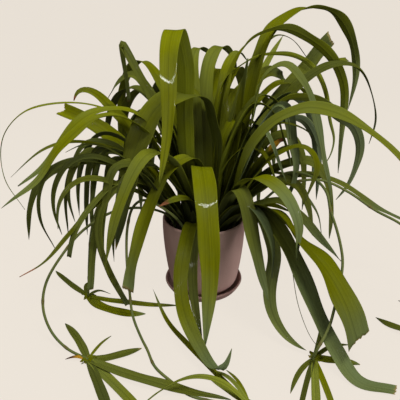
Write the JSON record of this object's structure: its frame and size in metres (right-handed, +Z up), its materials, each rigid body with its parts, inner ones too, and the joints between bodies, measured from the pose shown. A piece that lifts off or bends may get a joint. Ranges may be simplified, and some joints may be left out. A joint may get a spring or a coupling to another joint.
{
  "type": "potted spider plant",
  "caption": "Arching strap-leaved spider plant with trailing runners and plantlets, in a round glazed pot on a saucer.",
  "frame": {"origin": "centre of the saucer's underside, on the surface it stands on", "axes": "+Z up along the pot's axis, -Y towards the plant's front, where its lowest leaves hang over the rim"},
  "size_m": [0.6651, 0.5758, 0.3974],
  "materials": {
    "saucer": "satin taupe glaze",
    "pot": "satin taupe glaze",
    "soil": "matte, dark crumbly potting soil",
    "leaf": "glossy olive-green leaf with fine lengthwise veins",
    "runner": "green stem and young leaves"
  },
  "bodies": {
    "root": {"saucer": "saucer", "pot": "pot", "soil": "soil", "leaf_clump": "leaf", "runner_left": "runner", "runner_far_left": "runner", "runner_front": "runner", "runner_right": "runner", "runner_far_right": "runner"}
  },
  "joints": []
}
